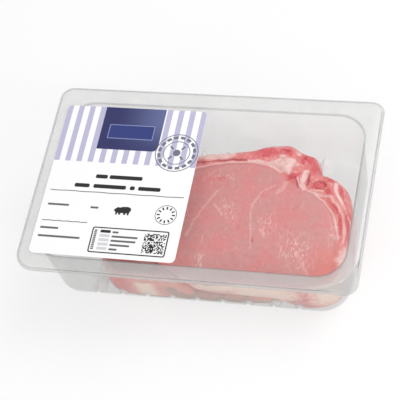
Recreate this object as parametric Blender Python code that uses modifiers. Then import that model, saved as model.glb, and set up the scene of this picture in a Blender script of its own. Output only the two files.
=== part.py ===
"""Clear meat tray pack: a thermoformed tray with a corrugated base and a peel corner, a sealed lid
film, a stuck-on paper label and two pork chops, one draped over the other.

Frame: metres, X along the long side (label end at -X), +Y towards the back, +Z up. The origin is under
the middle of the tray, on the plane the base lobes rest on. Sizes below are in millimetres."""

import math

import bmesh
import bpy

MM = 0.001

# ---- tray ----------------------------------------------------------------------------------------
HALF_LENGTH = 115.0        # flange, along X
HALF_WIDTH = 74.0          # flange, along Y
FLANGE_TOP = 55.5          # height of the sealing land above the resting plane
SHEET = 0.6                # wall of the tray
LIP_OUT = 0.45             # outer face of the lip, turned down, and the bend above it
LIP_IN = 1.0
LIP_DROP = 1.7
SHELF_IN = 1.7             # low shelf outside the sealing land; it widens into the peel corner
SHELF_DROP = 0.8
LAND_IN = 2.4              # outer edge of the raised sealing land
CAVITY_IN = 9.4            # inner edge of the land
EDGE_ROUND = 0.6           # small bend from the land into the wall
LAND_FRONT = 1.0           # the land is this much wider along the front and the back
LAND_BACK = 2.6
FLANGE_CORNERS = (9.0, 9.0, 9.0, 14.0)     # plan radii: front right, back right, back left, front left
LAND_CORNERS = (27.0, 7.5, 7.5, 12.0)      # the land cuts the front right corner, for the peel tab
CAVITY_CORNER = 20.0
BASE_CORNER = 19.5
DRAFT = math.radians(2.5)
BASE_ROUND = 4.0           # bend from wall to base

# ---- corrugation of the base: grooves run front to back, narrow from below with wide lobes between -
GROOVES = 9
PITCH = 17.6
GROOVE_DEPTH = 5.0
GROOVE_STEPS = (-0.5, -0.27, -0.11, 0.0, 0.11, 0.27)   # sections across one pitch
GROOVE_SHARP = 2.2
GROOVE_EASE = 2.0          # how softly a groove runs out into the wall

# ---- lid film and label --------------------------------------------------------------------------
GAP = 0.3                  # clear gap left between neighbouring pieces
FILM = 0.3
FILM_IN = 2.2              # the film stops just short of the lip
FILM_CORNERS = (7.5, 7.5, 7.5, 12.0)
LABEL = 0.3
LABEL_SIZE = (100.8, 119.4)
LABEL_CENTRE = (-55.7, -2.4)
LABEL_CORNER = 3.5

# ---- chops ---------------------------------------------------------------------------------------
CHOP_BED = GROOVE_DEPTH + 2 * SHEET + 0.6  # the meat lies on the ridges of the base
CHOP_THICK = 17.2
CHOP_GAP = 1.3
EDGE_SOFT = 7.5                            # width of the rounded edge of a chop
EDGE_BANDS = (11.0, 14.5, 18.5, 24.0)      # next sections inwards; the drape ends outside them
LEFT_RISE = 5.0                            # the lower chop is thick at its left end
FRONT_THIN = 5.0                           # and squeezed thin along the front
LOWER_CENTRE = (6.0, -10.0)
LOWER_OUTLINE = ((86.0, -22.0), (83.0, -40.0), (72.0, -50.0), (54.0, -57.0), (30.0, -59.4), (4.0, -60.0),
                 (-18.0, -60.1), (-42.0, -59.9), (-58.0, -57.0), (-66.5, -47.0), (-69.0, -32.0), (-66.0, -14.0),
                 (-56.0, 0.0), (-38.0, 15.0), (-14.0, 26.0), (12.0, 33.0), (38.0, 36.0), (58.0, 31.0),
                 (72.0, 18.0), (82.0, 0.0))
UPPER_CENTRE = (34.0, -12.0)
UPPER_OUTLINE = ((102.0, -16.0), (101.8, -34.0), (98.6, -48.2), (89.2, -56.8), (70.0, -59.8),
                 (34.0, -60.2), (10.0, -59.8), (-8.0, -56.8), (-24.0, -50.0), (-38.0, -40.0),
                 (-47.0, -26.0), (-49.0, -8.0), (-42.0, 10.0), (-28.0, 25.0), (-8.0, 34.0), (14.0, 37.5),
                 (30.0, 41.0), (40.0, 45.0), (52.0, 45.5), (62.0, 40.5), (71.0, 38.0), (76.0, 28.0),
                 (80.0, 21.5), (88.0, 20.0), (95.0, 13.0), (100.0, 2.0))
EYE_CENTRE = (36.0, -20.0)                 # the round lean muscle of the upper chop
EYE_HALF = (62.0, 50.0)
EYE_RISE = 1.6
SEAM_DIP = 1.8                             # the membrane round it lies a little lower
DRAPE_FROM = 4.5                           # the upper chop hangs down outside the lower one
DRAPE_TO = 15.0
FRONT_SAG = 3.0


def fresh_scene():
    for old in list(bpy.data.objects):
        bpy.data.objects.remove(old, do_unlink=True)
    pack = bpy.data.collections.new("meat_tray_pack")
    bpy.context.scene.collection.children.link(pack)
    return pack


def material(name, colour, roughness, transmission=0.0):
    mat = bpy.data.materials.new(name)
    mat.use_nodes = True
    shader = mat.node_tree.nodes["Principled BSDF"]
    shader.inputs["Base Color"].default_value = (*colour, 1.0)
    shader.inputs["Roughness"].default_value = roughness
    shader.inputs["Transmission Weight"].default_value = transmission
    return mat


def add_object(pack, name, bm, mat):
    mesh = bpy.data.meshes.new(name)
    bm.normal_update()
    bm.to_mesh(mesh)
    bm.free()
    obj = bpy.data.objects.new(name, mesh)
    obj.data.materials.append(mat)
    pack.objects.link(obj)
    return obj


# ---- tray ----------------------------------------------------------------------------------------
def ring_points(inset, radii, in_cavity=False, corner_steps=6, side_steps=2):
    """One closed section of the tray: front side with the stations of the corrugation, right corner,
    right side and so on, anticlockwise seen from above. radii: front right, back right, back left,
    front left. Inside the cavity the front and back lie further in."""
    a = HALF_LENGTH - inset
    front = -(HALF_WIDTH - inset - LAND_FRONT * in_cavity)
    back = HALF_WIDTH - inset - LAND_BACK * in_cavity
    stations = [(i + s) * PITCH for i in range(-(GROOVES // 2), GROOVES // 2 + 1) for s in GROOVE_STEPS]
    stations.append((GROOVES // 2 + 0.5) * PITCH)
    signs = ((1, -1), (1, 1), (-1, 1), (-1, -1))
    points = [(x, front) for x in stations]
    for k, (sx, sy) in enumerate(signs):
        r = radii[k]
        cx = sx * (a - r)
        cy = front + r if sy < 0 else back - r
        start = -math.pi / 2 + k * math.pi / 2
        for i in range(corner_steps + 1):
            t = start + i * math.pi / 2 / corner_steps
            points.append((cx + r * math.cos(t), cy + r * math.sin(t)))
        if k == 0:
            y0 = front + r
            y1 = back - radii[1]
            points += [(a, y0 + (y1 - y0) * i / side_steps) for i in range(1, side_steps)]
        if k == 1:
            points += [(x, back) for x in reversed(stations)]
        if k == 2:
            y0 = back - r
            y1 = front + radii[3]
            points += [(-a, y0 + (y1 - y0) * i / side_steps) for i in range(1, side_steps)]
    return points


def groove_rise(x):
    """Height of the base above its lobes: narrow ridges at every pitch, none in the end lobes."""
    reach = (GROOVES // 2 + 0.5) * PITCH
    if abs(x) >= reach:
        return 0.0
    phase = x / PITCH - round(x / PITCH)
    return GROOVE_DEPTH * (1.0 - math.sin(math.pi * abs(phase))) ** GROOVE_SHARP


def blend_up(floor, rise):
    """The higher of two heights, with the corner between them eased."""
    reach = min(GROOVE_EASE, rise)
    if reach <= 0.0:
        return floor
    near = max(reach - abs(floor - rise), 0.0) / reach
    return max(floor, rise) + near * near * reach / 4


def tray_sections():
    """Sections of the tray's outer face from the lip inwards: (inset, height, corner radii, whether it
    belongs to the cavity)."""
    top = FLANGE_TOP - SHEET
    sections = [
        (LIP_OUT, top - LIP_DROP, [r - LIP_OUT for r in FLANGE_CORNERS], False),
        (LIP_IN, top - SHELF_DROP, [r - LIP_IN for r in FLANGE_CORNERS], False),
        (SHELF_IN, top - SHELF_DROP * 0.9, LAND_CORNERS, False),
        (LAND_IN, top, [r - 0.5 for r in LAND_CORNERS], False),
        (CAVITY_IN, top, [CAVITY_CORNER] * 4, True),
    ]
    wall_top = top - EDGE_ROUND
    wall_foot = BASE_ROUND * (1.0 - math.sin(DRAFT))
    inset = CAVITY_IN + EDGE_ROUND
    sections.append((inset, wall_top, [CAVITY_CORNER] * 4, True))
    foot_inset = inset + (wall_top - wall_foot) * math.tan(DRAFT)
    sections.append((foot_inset, wall_foot, [BASE_CORNER] * 4, True))
    for share in (0.34, 0.67, 1.0):
        turn = DRAFT + (math.pi / 2 - DRAFT) * share
        run = BASE_ROUND * (math.cos(DRAFT) - math.cos(turn))
        drop = BASE_ROUND * (math.sin(turn) - math.sin(DRAFT))
        sections.append((foot_inset + run, wall_foot - drop, [BASE_CORNER - run] * 4, True))
    return sections


def tray(pack):
    bm = bmesh.new()
    rings = []
    for inset, height, radii, in_cavity in tray_sections():
        ring = []
        for x, y in ring_points(inset, radii, in_cavity):
            low = height < GROOVE_DEPTH + 4.0
            z = blend_up(height, groove_rise(x)) if low else height
            ring.append(bm.verts.new((x * MM, y * MM, z * MM)))
        rings.append(ring)
    count = len(rings[0])
    for outer, inner in zip(rings, rings[1:]):
        for i in range(count):
            j = (i + 1) % count
            bm.faces.new((outer[i], outer[j], inner[j], inner[i]))
    fill_base(bm, rings[-1])
    obj = add_object(pack, "tray", bm, material("clear_tray", (0.86, 0.88, 0.88), 0.12, 0.9))
    shell = obj.modifiers.new("sheet", "SOLIDIFY")
    shell.thickness = SHEET * MM
    shell.offset = 1.0
    shell.use_even_offset = True
    return obj


def fill_base(bm, edge):
    """The base inside its last section, as a grid blended from the four sides, ridges included."""
    stations = GROOVES * len(GROOVE_STEPS) + 1
    half = 3
    side = 1
    c0 = stations + half                       # middle of the front right corner
    c1 = c0 + half + side + half + 1           # back right
    c2 = c1 + half + stations + half + 1       # back left
    c3 = c2 + half + side + half + 1           # front left
    count = len(edge)

    def run(i, j):
        if j < i:
            j += count
        return [edge[k % count] for k in range(i, j + 1)]

    front = run(c3, c0)
    right = run(c0, c1)
    back = list(reversed(run(c1, c2)))
    left = list(reversed(run(c2, c3)))
    columns = len(front) - 1
    rows = len(right) - 1
    grid = [[None] * (columns + 1) for _ in range(rows + 1)]
    for i in range(columns + 1):
        grid[0][i] = front[i]
        grid[rows][i] = back[i]
    for j in range(rows + 1):
        grid[j][0] = left[j]
        grid[j][columns] = right[j]
    for j in range(1, rows):
        v = j / rows
        for i in range(1, columns):
            u = i / columns
            x, y = [
                (1 - v) * front[i].co[k] + v * back[i].co[k] + (1 - u) * left[j].co[k] + u * right[j].co[k]
                - (1 - u) * (1 - v) * front[0].co[k] - u * (1 - v) * front[columns].co[k]
                - (1 - u) * v * back[0].co[k] - u * v * back[columns].co[k]
                for k in (0, 1)
            ]
            if half < i < columns - half:
                x = front[i].co.x                  # ridges run straight from front to back
            grid[j][i] = bm.verts.new((x, y, blend_up(0.0, groove_rise(x / MM)) * MM))
    for j in range(rows):
        for i in range(columns):
            bm.faces.new((grid[j][i], grid[j][i + 1], grid[j + 1][i + 1], grid[j + 1][i]))


# ---- flat pieces ---------------------------------------------------------------------------------
def rounded_plate(half_x, half_y, radii, centre, low, thick, steps=6):
    bm = bmesh.new()
    loops = []
    for z in (low, low + thick):
        loop = []
        for k, (sx, sy) in enumerate(((1, -1), (1, 1), (-1, 1), (-1, -1))):
            radius = radii[k]
            for i in range(steps + 1):
                t = -math.pi / 2 + (k + i / steps) * math.pi / 2
                x = centre[0] + sx * (half_x - radius) + radius * math.cos(t)
                y = centre[1] + sy * (half_y - radius) + radius * math.sin(t)
                loop.append(bm.verts.new((x * MM, y * MM, z * MM)))
        loops.append(loop)
    lower, upper = loops
    count = len(lower)
    for i in range(count):
        j = (i + 1) % count
        bm.faces.new((lower[i], lower[j], upper[j], upper[i]))
    bm.faces.new(list(reversed(lower)))
    bm.faces.new(upper)
    return bm


def lid_film(pack):
    bm = rounded_plate(HALF_LENGTH - FILM_IN, HALF_WIDTH - FILM_IN, FILM_CORNERS, (0.0, 0.0),
                       FLANGE_TOP + GAP, FILM)
    return add_object(pack, "lid_film", bm, material("clear_film", (0.95, 0.95, 0.95), 0.08, 1.0))


def label(pack):
    bm = rounded_plate(LABEL_SIZE[0] / 2, LABEL_SIZE[1] / 2, [LABEL_CORNER] * 4, LABEL_CENTRE,
                       FLANGE_TOP + GAP + FILM + GAP, LABEL, steps=4)
    return add_object(pack, "label", bm, material("label_paper", (0.9, 0.9, 0.9), 0.5))


# ---- chops ---------------------------------------------------------------------------------------
def smooth_outline(points, count):
    """A closed smooth curve through the points, cut into equal lengths."""
    dense = []
    n = len(points)
    for i in range(n):
        p0, p1, p2, p3 = (points[(i + k - 1) % n] for k in range(4))
        for step in range(12):
            t = step / 12
            dense.append(tuple(
                0.5 * (2 * b + (c - a) * t + (2 * a - 5 * b + 4 * c - d) * t * t
                       + (3 * b - a - 3 * c + d) * t ** 3)
                for a, b, c, d in zip(p0, p1, p2, p3)
            ))
    dense.append(dense[0])
    lengths = [0.0]
    for p, q in zip(dense, dense[1:]):
        lengths.append(lengths[-1] + math.dist(p, q))
    curve = []
    k = 0
    for i in range(count):
        want = lengths[-1] * i / count
        while lengths[k + 1] < want:
            k += 1
        t = (want - lengths[k]) / (lengths[k + 1] - lengths[k])
        curve.append(tuple(p + (q - p) * t for p, q in zip(dense[k], dense[k + 1])))
    return curve


def outside_by(point, curve):
    """Distance of a point outside a closed curve; negative inside."""
    x, y = point
    best = 1e9
    inside = False
    for (x0, y0), (x1, y1) in zip(curve, curve[1:] + curve[:1]):
        dx = x1 - x0
        dy = y1 - y0
        t = max(0.0, min(1.0, ((x - x0) * dx + (y - y0) * dy) / (dx * dx + dy * dy)))
        best = min(best, math.hypot(x - x0 - t * dx, y - y0 - t * dy))
        if (y0 > y) != (y1 > y) and x < x0 + (y - y0) * dx / dy:
            inside = not inside
    return -best if inside else best


def ease(t):
    t = max(0.0, min(1.0, t))
    return t * t * (3.0 - 2.0 * t)


def chop_body(curve, centre, top_of, base_of):
    """A slab between two height functions with a rounded edge, as rings shrinking to the middle."""
    bm = bmesh.new()
    edge_steps = (0.06, 0.25, 0.6, 1.0)
    inner_steps = (0.66, 0.33)

    def ring(shrink, height_of, roundness):
        verts = []
        for x, y in curve:
            reach = math.dist((x, y), centre)
            k = shrink(reach)
            px = centre[0] + (x - centre[0]) * k
            py = centre[1] + (y - centre[1]) * k
            middle = 0.5 * (top_of(px, py) + base_of(px, py))
            z = middle + (height_of(px, py) - middle) * roundness
            verts.append(bm.verts.new((px * MM, py * MM, z * MM)))
        return verts

    def cap(height_of):
        rings = []
        for s in edge_steps:
            roundness = (1.0 - (1.0 - s) ** 2.4) ** (1 / 2.4)
            rings.append(ring(lambda reach, s=s: 1.0 - s * EDGE_SOFT / reach, height_of, roundness))
        for band in EDGE_BANDS:
            rings.append(ring(lambda reach, band=band: 1.0 - band / reach, height_of, 1.0))
        for s in inner_steps:
            rings.append(ring(lambda reach, s=s: s * (1.0 - EDGE_BANDS[-1] / reach), height_of, 1.0))
        x, y = centre
        return rings, bm.verts.new((x * MM, y * MM, height_of(x, y) * MM))

    rim = ring(lambda reach: 1.0, top_of, 0.0)
    count = len(curve)
    for height_of in (top_of, base_of):
        rings, middle = cap(height_of)
        chain = [rim] + rings
        for outer, inner in zip(chain, chain[1:]):
            for i in range(count):
                j = (i + 1) % count
                bm.faces.new((outer[i], outer[j], inner[j], inner[i]))
        last = chain[-1]
        for i in range(count):
            bm.faces.new((last[i], last[(i + 1) % count], middle))
    bmesh.ops.recalc_face_normals(bm, faces=bm.faces)
    return bm


def left_rise(x):
    return LEFT_RISE * ease((-x - 6.0) / 24.0)


def lower_top(x, y):
    """Upper face of the lower chop: thin along the front under the upper one, thick at the left."""
    squeeze = ease((-y - 36.0) / 20.0) * ease((x + 16.0) / 18.0)
    return CHOP_BED + CHOP_THICK - (CHOP_THICK - FRONT_THIN) * squeeze + left_rise(x)


def chop_lower(pack):
    curve = smooth_outline(LOWER_OUTLINE, 42)
    bm = chop_body(curve, LOWER_CENTRE, lower_top, lambda x, y: CHOP_BED)
    return add_object(pack, "chop_lower", bm, material("pork_lower", (0.62, 0.28, 0.26), 0.4))


def chop_upper(pack):
    curve = smooth_outline(UPPER_OUTLINE, 46)
    under = smooth_outline(LOWER_OUTLINE, 90)

    def base_of(x, y):
        hang = ease((outside_by((x, y), under) - DRAPE_FROM) / (DRAPE_TO - DRAPE_FROM))
        rest = lower_top(x, y) + CHOP_GAP
        return rest + (CHOP_BED - rest) * hang

    def top_of(x, y):
        r = math.hypot((x - EYE_CENTRE[0]) / EYE_HALF[0], (y - EYE_CENTRE[1]) / EYE_HALF[1])
        dome = EYE_RISE * ease(1.25 - r)
        seam = SEAM_DIP * math.exp(-((r - 1.05) / 0.09) ** 2)
        sag = FRONT_SAG * ease((-y - 38.0) / 24.0) + FRONT_SAG * ease((x - 84.0) / 20.0)
        return CHOP_BED + 2 * CHOP_THICK + CHOP_GAP + left_rise(x) + dome - seam - sag

    bm = chop_body(curve, UPPER_CENTRE, top_of, base_of)
    return add_object(pack, "chop_upper", bm, material("pork_upper", (0.68, 0.30, 0.28), 0.4))


def main():
    pack = fresh_scene()
    tray(pack)
    lid_film(pack)
    label(pack)
    chop_lower(pack)
    chop_upper(pack)


main()
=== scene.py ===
"""Looks of the clear meat tray pack: a ribbed clear tray, its lid film and label, and two pork chops."""
import math
import random

import bmesh
import bpy
import numpy as np
from mathutils import Matrix, Vector, noise


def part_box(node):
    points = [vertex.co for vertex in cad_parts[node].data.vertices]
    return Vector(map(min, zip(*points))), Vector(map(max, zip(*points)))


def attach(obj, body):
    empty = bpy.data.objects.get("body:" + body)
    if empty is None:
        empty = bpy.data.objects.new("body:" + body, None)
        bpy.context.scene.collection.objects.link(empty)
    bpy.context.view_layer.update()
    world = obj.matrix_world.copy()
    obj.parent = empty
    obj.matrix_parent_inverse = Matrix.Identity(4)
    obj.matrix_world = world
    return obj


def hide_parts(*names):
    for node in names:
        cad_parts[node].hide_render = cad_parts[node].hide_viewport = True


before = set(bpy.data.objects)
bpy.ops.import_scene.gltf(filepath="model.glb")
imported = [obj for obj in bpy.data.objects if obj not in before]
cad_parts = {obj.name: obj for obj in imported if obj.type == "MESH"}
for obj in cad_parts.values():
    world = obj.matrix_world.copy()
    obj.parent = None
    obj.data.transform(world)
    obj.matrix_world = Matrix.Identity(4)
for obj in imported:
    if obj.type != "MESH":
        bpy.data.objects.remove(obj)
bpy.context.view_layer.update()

MM = 0.001
tray_low, tray_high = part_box("tray")
film_low, film_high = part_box("lid_film")
label_low, label_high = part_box("label")

# ---- tray sizes in millimetres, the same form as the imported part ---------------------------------
HALF_LENGTH = (tray_high.x - tray_low.x) / 2 / MM
HALF_WIDTH = (tray_high.y - tray_low.y) / 2 / MM
FLANGE_TOP = tray_high.z / MM
SHEET = 0.6
LIP_OUT = 0.5
LIP_DROP = 1.7
SHELF_IN = 1.7
SHELF_DROP = 0.8
LAND_IN = 2.4
CAVITY_IN = 9.4
EDGE_ROUND = 0.8
LAND_FRONT = 1.0
LAND_BACK = 2.6
FLANGE_CORNERS = (9.0, 9.0, 9.0, 14.0)     # front right, back right, back left, front left
LAND_CORNERS = (27.0, 7.5, 7.5, 12.0)
CAVITY_CORNER = 20.0
BASE_CORNER = 19.5
DRAFT = math.radians(2.5)
BASE_ROUND = 4.0
GROOVES = 9
PITCH = 17.6
GROOVE_DEPTH = 5.0
GROOVE_SHARP = 2.2
GROOVE_EASE = 2.0
FILM_CORNERS = (7.5, 7.5, 7.5, 12.0)
FILM_SAG = 0.25
LABEL_CORNER = 3.5


def srgb(r, g, b):
    def linear(c):
        c /= 255
        return c / 12.92 if c <= 0.04045 else ((c + 0.055) / 1.055) ** 2.4
    return (linear(r), linear(g), linear(b), 1.0)


def ease(t):
    t = max(0.0, min(1.0, t))
    return t * t * (3.0 - 2.0 * t)


# ---- shader nodes --------------------------------------------------------------------------------
class Shader:
    """A material's node tree, built by short calls."""

    def __init__(self, name):
        self.mat = bpy.data.materials.new(name)
        self.mat.use_nodes = True
        self.tree = self.mat.node_tree
        self.tree.nodes.clear()
        self.out = self.tree.nodes.new("ShaderNodeOutputMaterial")

    def node(self, kind, inputs=(), **settings):
        n = self.tree.nodes.new(kind)
        for key, value in settings.items():
            setattr(n, key, value)
        for key, value in dict(inputs).items():
            if isinstance(value, bpy.types.NodeSocket):
                self.tree.links.new(value, n.inputs[key])
            else:
                n.inputs[key].default_value = value
        return n

    def math(self, operation, a, b=0.0, c=0.0, clamp=False):
        n = self.node("ShaderNodeMath", {0: a, 1: b, 2: c}, operation=operation, use_clamp=clamp)
        return n.outputs[0]

    def mix(self, factor, a, b):
        n = self.node("ShaderNodeMix", {0: factor, 6: a, 7: b}, data_type="RGBA", blend_type="MIX")
        return n.outputs[2]

    def step(self, value, low, high):
        """0 below low, 1 above high, eased between."""
        n = self.node("ShaderNodeMapRange", {"Value": value, "From Min": low, "From Max": high},
                      interpolation_type="SMOOTHSTEP", clamp=True)
        return n.outputs["Result"]

    def place(self, scale=(1.0, 1.0, 1.0), turn=(0.0, 0.0, 0.0)):
        """Object coordinates in millimetres."""
        coords = self.node("ShaderNodeTexCoord").outputs["Object"]
        n = self.node("ShaderNodeMapping", {"Vector": coords, "Rotation": turn,
                                            "Scale": tuple(s / MM for s in scale)})
        return n.outputs["Vector"]

    def noise(self, vector, scale, detail=2.0, rough=0.5, bent=0.0):
        n = self.node("ShaderNodeTexNoise", {"Vector": vector, "Scale": scale, "Detail": detail,
                                             "Roughness": rough, "Distortion": bent})
        return n.outputs["Fac"]

    def field(self, name):
        return self.node("ShaderNodeAttribute", attribute_name=name).outputs["Fac"]

    def bump(self, height, distance, strength=1.0):
        n = self.node("ShaderNodeBump", {"Height": height, "Distance": distance, "Strength": strength})
        return n.outputs["Normal"]

    def finish(self, surface):
        self.tree.links.new(surface, self.out.inputs["Surface"])
        return self.mat


LIGHT_THROUGH = 0.85          # share of the light that passes a clear sheet


def clear_material(name, haze, edge, rough=0.12, grey=203, ridge=0.0):
    """Clear sheet: see-through with a thin haze, more of it where seen at a slant. Light passes it
    mostly unhindered, as milky plastic scatters it onwards. With ridge, the ridges of the base show
    as paler, hazier lines: partly the sheet's haze, partly painted highlight along the ridges."""
    s = Shader(name)
    cloud = s.noise(s.place(), 0.045, 2.0)
    slant = s.node("ShaderNodeLayerWeight", {"Blend": 0.22}).outputs["Facing"]
    amount = s.math("MULTIPLY_ADD", cloud, haze * 0.6, haze * 0.7)
    amount = s.math("MULTIPLY_ADD", s.math("POWER", slant, 2.0), edge, amount, clamp=True)
    colour = srgb(grey, grey, grey - 1)
    if ridge:
        # painted highlight, in part: the ridges and the creases at their feet turn paler and hazier
        lifted = s.field("ridge")
        beyond = s.math("SUBTRACT", 1.0, s.step(lifted, 0.7, 2.4))
        crease_highlight = s.math("MULTIPLY", s.step(lifted, 0.0, 0.7), beyond)
        amount = s.math("MULTIPLY_ADD", crease_highlight, ridge * 0.6, amount, clamp=True)
        amount = s.math("MULTIPLY_ADD", s.step(lifted, 0.3, 3.0), ridge * 0.5, amount, clamp=True)
        colour = s.mix(s.step(lifted, 0.0, 1.0), colour, srgb(234, 229, 228))
    solid = s.node("ShaderNodeBsdfPrincipled", {"Base Color": colour, "Roughness": rough, "IOR": 1.5})
    clear = s.node("ShaderNodeBsdfTransparent", {"Color": (0.99, 0.99, 0.99, 1.0)})
    both = s.node("ShaderNodeMixShader", {0: amount, 1: clear.outputs[0], 2: solid.outputs[0]})
    shadow = s.math("MULTIPLY", s.node("ShaderNodeLightPath").outputs["Is Shadow Ray"], LIGHT_THROUGH)
    passed = s.node("ShaderNodeBsdfTransparent", {"Color": (1.0, 1.0, 1.0, 1.0)})
    mixed = s.node("ShaderNodeMixShader", {0: shadow, 1: both.outputs[0], 2: passed.outputs[0]})
    return s.finish(mixed.outputs[0])


# ---- tray ----------------------------------------------------------------------------------------
STEPS_PER_PITCH = 20
STATIONS = [(i / STEPS_PER_PITCH - GROOVES / 2) * PITCH for i in range(GROOVES * STEPS_PER_PITCH + 1)]
CORNER_STEPS = 16
SIDE_STEPS = 8


def ring_points(inset, radii, in_cavity):
    """One closed line round the tray, anticlockwise from the front left, in millimetres."""
    a = HALF_LENGTH - inset
    front = -(HALF_WIDTH - inset - LAND_FRONT * in_cavity)
    back = HALF_WIDTH - inset - LAND_BACK * in_cavity
    points = [(x, front) for x in STATIONS]
    for k, (sx, sy) in enumerate(((1, -1), (1, 1), (-1, 1), (-1, -1))):
        r = radii[k]
        cx = sx * (a - r)
        cy = front + r if sy < 0 else back - r
        start = -math.pi / 2 + k * math.pi / 2
        for i in range(CORNER_STEPS + 1):
            t = start + i * math.pi / 2 / CORNER_STEPS
            points.append((cx + r * math.cos(t), cy + r * math.sin(t)))
        if k == 0:
            y0, y1 = front + r, back - radii[1]
            points += [(a, y0 + (y1 - y0) * i / SIDE_STEPS) for i in range(1, SIDE_STEPS)]
        if k == 1:
            points += [(x, back) for x in reversed(STATIONS)]
        if k == 2:
            y0, y1 = back - r, front + radii[3]
            points += [(-a, y0 + (y1 - y0) * i / SIDE_STEPS) for i in range(1, SIDE_STEPS)]
    return points


def groove_rise(x):
    """Height of the base above its lobes: a narrow ridge at every pitch, none in the end lobes."""
    if abs(x) >= GROOVES / 2 * PITCH:
        return 0.0
    phase = x / PITCH - round(x / PITCH)
    return GROOVE_DEPTH * (1.0 - math.sin(math.pi * abs(phase))) ** GROOVE_SHARP


def blend_up(floor, rise):
    """The higher of two heights, with the corner between them eased."""
    reach = min(GROOVE_EASE, rise)
    if reach <= 0.0:
        return floor
    near = max(reach - abs(floor - rise), 0.0) / reach
    return max(floor, rise) + near * near * reach / 4


WALL, LAND, LIP, EDGE = 0, 1, 2, 3


def tray_sections():
    """(inset, height, corner radii, in the cavity, material of the band that follows)"""
    top = FLANGE_TOP - SHEET
    outer = [r - LIP_OUT for r in FLANGE_CORNERS]
    rows = [(LIP_OUT, top - LIP_DROP, outer, 0, LIP), (LIP_OUT + 0.12, top - LIP_DROP * 0.7, outer, 0, LIP),
            (LIP_OUT + 0.5, top - SHELF_DROP - 0.1, outer, 0, LIP)]
    rows += [(SHELF_IN, top - SHELF_DROP, LAND_CORNERS, 0, LIP),
             (SHELF_IN + 0.25, top - SHELF_DROP * 0.85, LAND_CORNERS, 0, LIP),
             (LAND_IN - 0.15, top - 0.12, [r - 0.4 for r in LAND_CORNERS], 0, LAND),
             (LAND_IN + 0.15, top, [r - 0.5 for r in LAND_CORNERS], 0, LAND)]
    rows += [(CAVITY_IN - 0.4, top, [CAVITY_CORNER + 0.4] * 4, 1, LAND),
             (CAVITY_IN, top - 0.05, [CAVITY_CORNER] * 4, 1, EDGE)]
    for share in (0.35, 0.7, 1.0):
        turn = share * math.pi / 2
        rows.append((CAVITY_IN + EDGE_ROUND * math.sin(turn), top - 0.05 - EDGE_ROUND * (1 - math.cos(turn)),
                     [CAVITY_CORNER] * 4, 1, EDGE if share < 1 else WALL))
    wall_top = top - EDGE_ROUND - 0.05
    foot = BASE_ROUND * (1.0 - math.sin(DRAFT))
    inset = CAVITY_IN + EDGE_ROUND
    heights = [wall_top + (10.0 - wall_top) * share for share in (0.2, 0.4, 0.6, 0.8, 1.0)]
    heights += [9.2, 8.4, 7.6, 6.9, 6.2, 5.5, 4.9, 4.3, foot]
    for z in heights:
        share = (wall_top - z) / (wall_top - foot)
        corner = CAVITY_CORNER + (BASE_CORNER - CAVITY_CORNER) * share
        rows.append((inset + (wall_top - z) * math.tan(DRAFT), z, [corner] * 4, 1, WALL))
    foot_inset = rows[-1][0]
    for i in range(1, 9):
        turn = DRAFT + (math.pi / 2 - DRAFT) * i / 8
        run = BASE_ROUND * (math.cos(DRAFT) - math.cos(turn))
        drop = BASE_ROUND * (math.sin(turn) - math.sin(DRAFT))
        rows.append((foot_inset + run, foot - drop, [BASE_CORNER - run] * 4, 1, WALL))
    return rows


def build_tray():
    """The tray's outer face as one sheet, from the lip in over the land and down to the ribbed base."""
    bm = bmesh.new()
    ridge = bm.verts.layers.float.new("ridge")
    rings = []
    kinds = []
    for inset, height, radii, in_cavity, kind in tray_sections():
        ring = []
        for x, y in ring_points(inset, radii, in_cavity):
            z = blend_up(height, groove_rise(x)) if height < GROOVE_DEPTH + 4.0 else height
            v = bm.verts.new((x * MM, y * MM, z * MM))
            v[ridge] = max(groove_rise(x) - height, 0.0) if in_cavity else 0.0
            ring.append(v)
        rings.append(ring)
        kinds.append(kind)
    count = len(rings[0])
    for outer, inner, kind in zip(rings, rings[1:], kinds):
        for i in range(count):
            j = (i + 1) % count
            bm.faces.new((outer[i], outer[j], inner[j], inner[i])).material_index = kind
    edge = rings[-1]
    half = CORNER_STEPS // 2
    n = len(STATIONS)
    c0 = n + half
    c1 = c0 + half + SIDE_STEPS + half
    c2 = c1 + half + n + half + 1
    c3 = c2 + half + SIDE_STEPS + half

    def run(i, j):
        if j < i:
            j += count
        return [edge[k % count] for k in range(i, j + 1)]

    front, right = run(c3, c0), run(c0, c1)
    back, left = list(reversed(run(c1, c2))), list(reversed(run(c2, c3)))
    columns, rows = len(front) - 1, len(right) - 1
    grid = [[None] * (columns + 1) for _ in range(rows + 1)]
    for i in range(columns + 1):
        grid[0][i], grid[rows][i] = front[i], back[i]
    for j in range(rows + 1):
        grid[j][0], grid[j][columns] = left[j], right[j]
    for j in range(1, rows):
        v = j / rows
        for i in range(1, columns):
            u = i / columns
            x, y = [
                (1 - v) * front[i].co[k] + v * back[i].co[k] + (1 - u) * left[j].co[k] + u * right[j].co[k]
                - (1 - u) * (1 - v) * front[0].co[k] - u * (1 - v) * front[columns].co[k]
                - (1 - u) * v * back[0].co[k] - u * v * back[columns].co[k]
                for k in (0, 1)
            ]
            if half < i < columns - half:
                x = front[i].co.x
            grid[j][i] = bm.verts.new((x, y, blend_up(0.0, groove_rise(x / MM)) * MM))
            grid[j][i][ridge] = groove_rise(x / MM)
    for j in range(rows):
        for i in range(columns):
            bm.faces.new((grid[j][i], grid[j][i + 1], grid[j + 1][i + 1], grid[j + 1][i]))
    return bm


def add_piece(name, bm, mats, smooth=True):
    mesh = bpy.data.meshes.new(name)
    bm.normal_update()
    bm.to_mesh(mesh)
    bm.free()
    if smooth:
        mesh.shade_smooth()
    obj = bpy.data.objects.new(name, mesh)
    bpy.context.scene.collection.objects.link(obj)
    for mat in mats:
        obj.data.materials.append(mat)
    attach(obj, "root")
    return obj


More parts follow.
